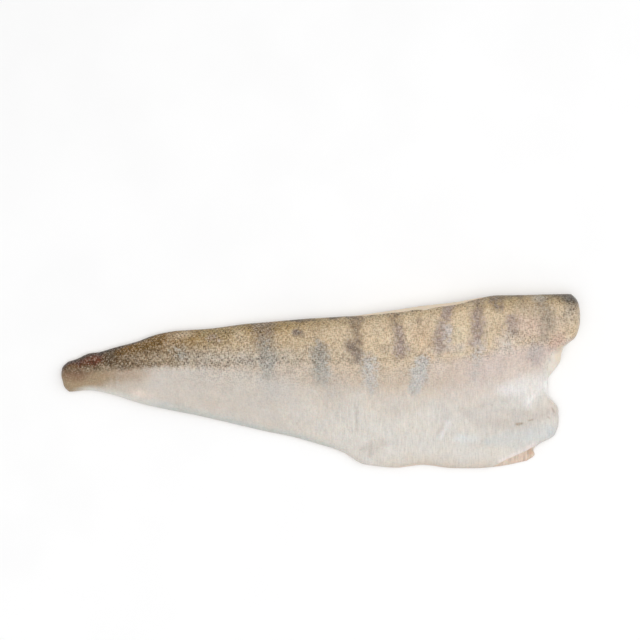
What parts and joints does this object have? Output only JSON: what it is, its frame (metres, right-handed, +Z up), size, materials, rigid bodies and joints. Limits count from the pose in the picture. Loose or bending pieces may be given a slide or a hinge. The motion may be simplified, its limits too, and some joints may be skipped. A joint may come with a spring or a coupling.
{
  "type": "frozen zander fillet",
  "caption": "Frozen fish fillet with barred skin on, tapering from a thick shoulder to a narrow tail, lying skin side up on its flat cut side.",
  "frame": {"origin": "below the middle of the fillet, on the surface that it lies on", "axes": "+X along the fillet from the tail cut to the collar cut, +Y across it from the belly edge to the back edge, +Z up, out of the skin side"},
  "size_m": [0.312, 0.1049, 0.0204],
  "materials": {
    "skin": "satin",
    "flesh": "satin"
  },
  "bodies": {
    "root": {"fillet": "skin"}
  },
  "joints": []
}
